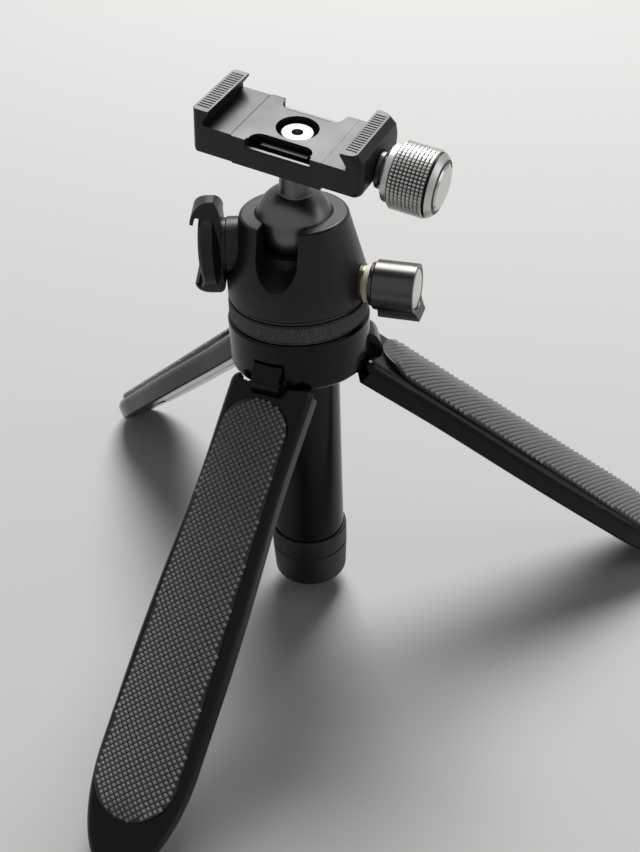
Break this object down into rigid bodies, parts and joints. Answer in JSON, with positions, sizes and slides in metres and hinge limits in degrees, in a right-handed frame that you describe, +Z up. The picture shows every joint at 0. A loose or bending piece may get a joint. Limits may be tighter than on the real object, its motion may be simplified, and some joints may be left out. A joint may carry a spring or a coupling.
{
  "type": "mini tripod",
  "caption": "Tabletop tripod with folding padded legs, a telescoping centre column and a ball head that carries a dovetail quick-release clamp.",
  "frame": {"origin": "on the centre column's axis at floor level, with the legs spread", "axes": "+Z up along the column, +X along the first leg"},
  "size_m": [0.1945, 0.221, 0.1707],
  "materials": {
    "black_anodised": "fine matte black anodising",
    "black_gloss": "smooth glossy black coating",
    "black_polymer": "moulded black plastic",
    "pad_rubber": "black rubber with a raised diamond pattern",
    "satin_silver": "satin silver anodising",
    "knob_silver": "bright machined aluminium",
    "knob_grey": "satin dark grey anodising",
    "bright_steel": "plated steel",
    "brass": "turned brass",
    "white_nylon": "ivory nylon"
  },
  "bodies": {
    "stand": {"crown": "black_gloss", "column_outer_tube": "black_gloss", "column_end_cap": "black_polymer", "column_collet": "black_polymer", "leg_hinge_pins": "bright_steel", "leg_washers": "white_nylon"},
    "first_leg": {"leg_1": "black_gloss", "leg_pad_1": "pad_rubber", "leg_sole_1": "pad_rubber"},
    "second_leg": {"leg_2": "black_gloss", "leg_pad_2": "pad_rubber", "leg_sole_2": "pad_rubber"},
    "third_leg": {"leg_3": "black_gloss", "leg_pad_3": "pad_rubber", "leg_sole_3": "pad_rubber"},
    "twist_lock": {"lock_ring": "black_anodised"},
    "column": {"column_inner_tube": "black_anodised", "column_guide_bush": "white_nylon", "column_top_plug": "satin_silver", "pan_base": "black_anodised", "pan_retainer": "satin_silver", "pan_centre_screw": "bright_steel"},
    "housing": {"head_housing": "black_anodised", "pan_bearing_ring": "brass", "ball_seat_upper": "black_polymer", "ball_cup_lower": "black_polymer", "ball_wave_spring": "bright_steel", "ball_pressure_pad": "white_nylon", "main_lock_bush": "black_anodised", "pan_brass_ring": "brass", "pan_lock_bush": "white_nylon"},
    "main_lock": {"main_lock_knob": "black_anodised", "main_lock_cover": "black_anodised", "main_lock_screw": "bright_steel"},
    "pan_lock": {"pan_lock_knob": "knob_grey", "pan_knob_disc": "knob_silver", "pan_lock_screw": "bright_steel", "pan_lock_tip": "brass"},
    "ball": {"ball_and_stem": "satin_silver"},
    "clamp": {"clamp_body": "black_anodised", "clamp_screw": "bright_steel", "clamp_screw_washer": "bright_steel", "jaw_guide_pins": "bright_steel", "jaw_spring": "bright_steel"},
    "jaw": {"moving_jaw": "black_anodised", "jaw_collar": "knob_grey"},
    "knob": {"clamp_rod": "bright_steel", "clamp_knob": "knob_silver", "clamp_knob_disc": "knob_silver"}
  },
  "joints": [
    {"name": "first_leg_fold", "type": "hinge", "parent": "stand", "child": "first_leg", "pos_m": [0.0172, 0, 0.09193], "axis": [0, 1, 0], "range_deg": [0, 50.8]},
    {"name": "second_leg_fold", "type": "hinge", "parent": "stand", "child": "second_leg", "pos_m": [-0.0086, 0.0149, 0.09193], "axis": [-0.866, -0.5, 0], "range_deg": [0, 50.8]},
    {"name": "third_leg_fold", "type": "hinge", "parent": "stand", "child": "third_leg", "pos_m": [-0.0086, -0.0149, 0.09193], "axis": [0.866, -0.5, 0], "range_deg": [0, 50.8]},
    {"name": "twist_lock_turn", "type": "hinge", "parent": "stand", "child": "twist_lock", "pos_m": [0, 0, 0.10483], "axis": [0, 0, 1], "range_deg": [0, 90]},
    {"name": "column_rise", "type": "slide", "parent": "stand", "child": "column", "axis": [0, 0, 1], "range_m": [0, 0.075]},
    {"name": "head_pan", "type": "hinge", "parent": "column", "child": "housing", "pos_m": [0, 0, 0.11198], "axis": [0, 0, 1], "continuous": true},
    {"name": "main_lock_turn", "type": "hinge", "parent": "housing", "child": "main_lock", "pos_m": [0, 0, 0.12633], "axis": [-0.9945, 0.1045, 0], "range_deg": [0, 270]},
    {"name": "pan_lock_turn", "type": "hinge", "parent": "housing", "child": "pan_lock", "pos_m": [0, 0, 0.11628], "axis": [0.9272, -0.3746, 0], "range_deg": [0, 180]},
    {"name": "ball_tilt", "type": "hinge", "parent": "housing", "child": "ball", "pos_m": [0, 0, 0.13307], "axis": [0.9154, -0.3829, -0.1239], "range_deg": [-40, 80]},
    {"name": "clamp_turn", "type": "hinge", "parent": "ball", "child": "clamp", "pos_m": [0, 0, 0.13307], "axis": [0.0599, -0.1748, 0.9828], "continuous": true},
    {"name": "jaw_open", "type": "slide", "parent": "clamp", "child": "jaw", "axis": [0.8549, -0.4993, -0.1409], "range_m": [0, 0.004]},
    {"name": "clamp_knob_turn", "type": "hinge", "parent": "jaw", "child": "knob", "pos_m": [0.00147, -0.00428, 0.15715], "axis": [0.8549, -0.4993, -0.1409], "range_deg": [0, 1800]}
  ],
  "couplings": [
    {"joint": "clamp_knob_turn", "follows": "jaw_open", "rad_per_m": 7854}
  ]
}
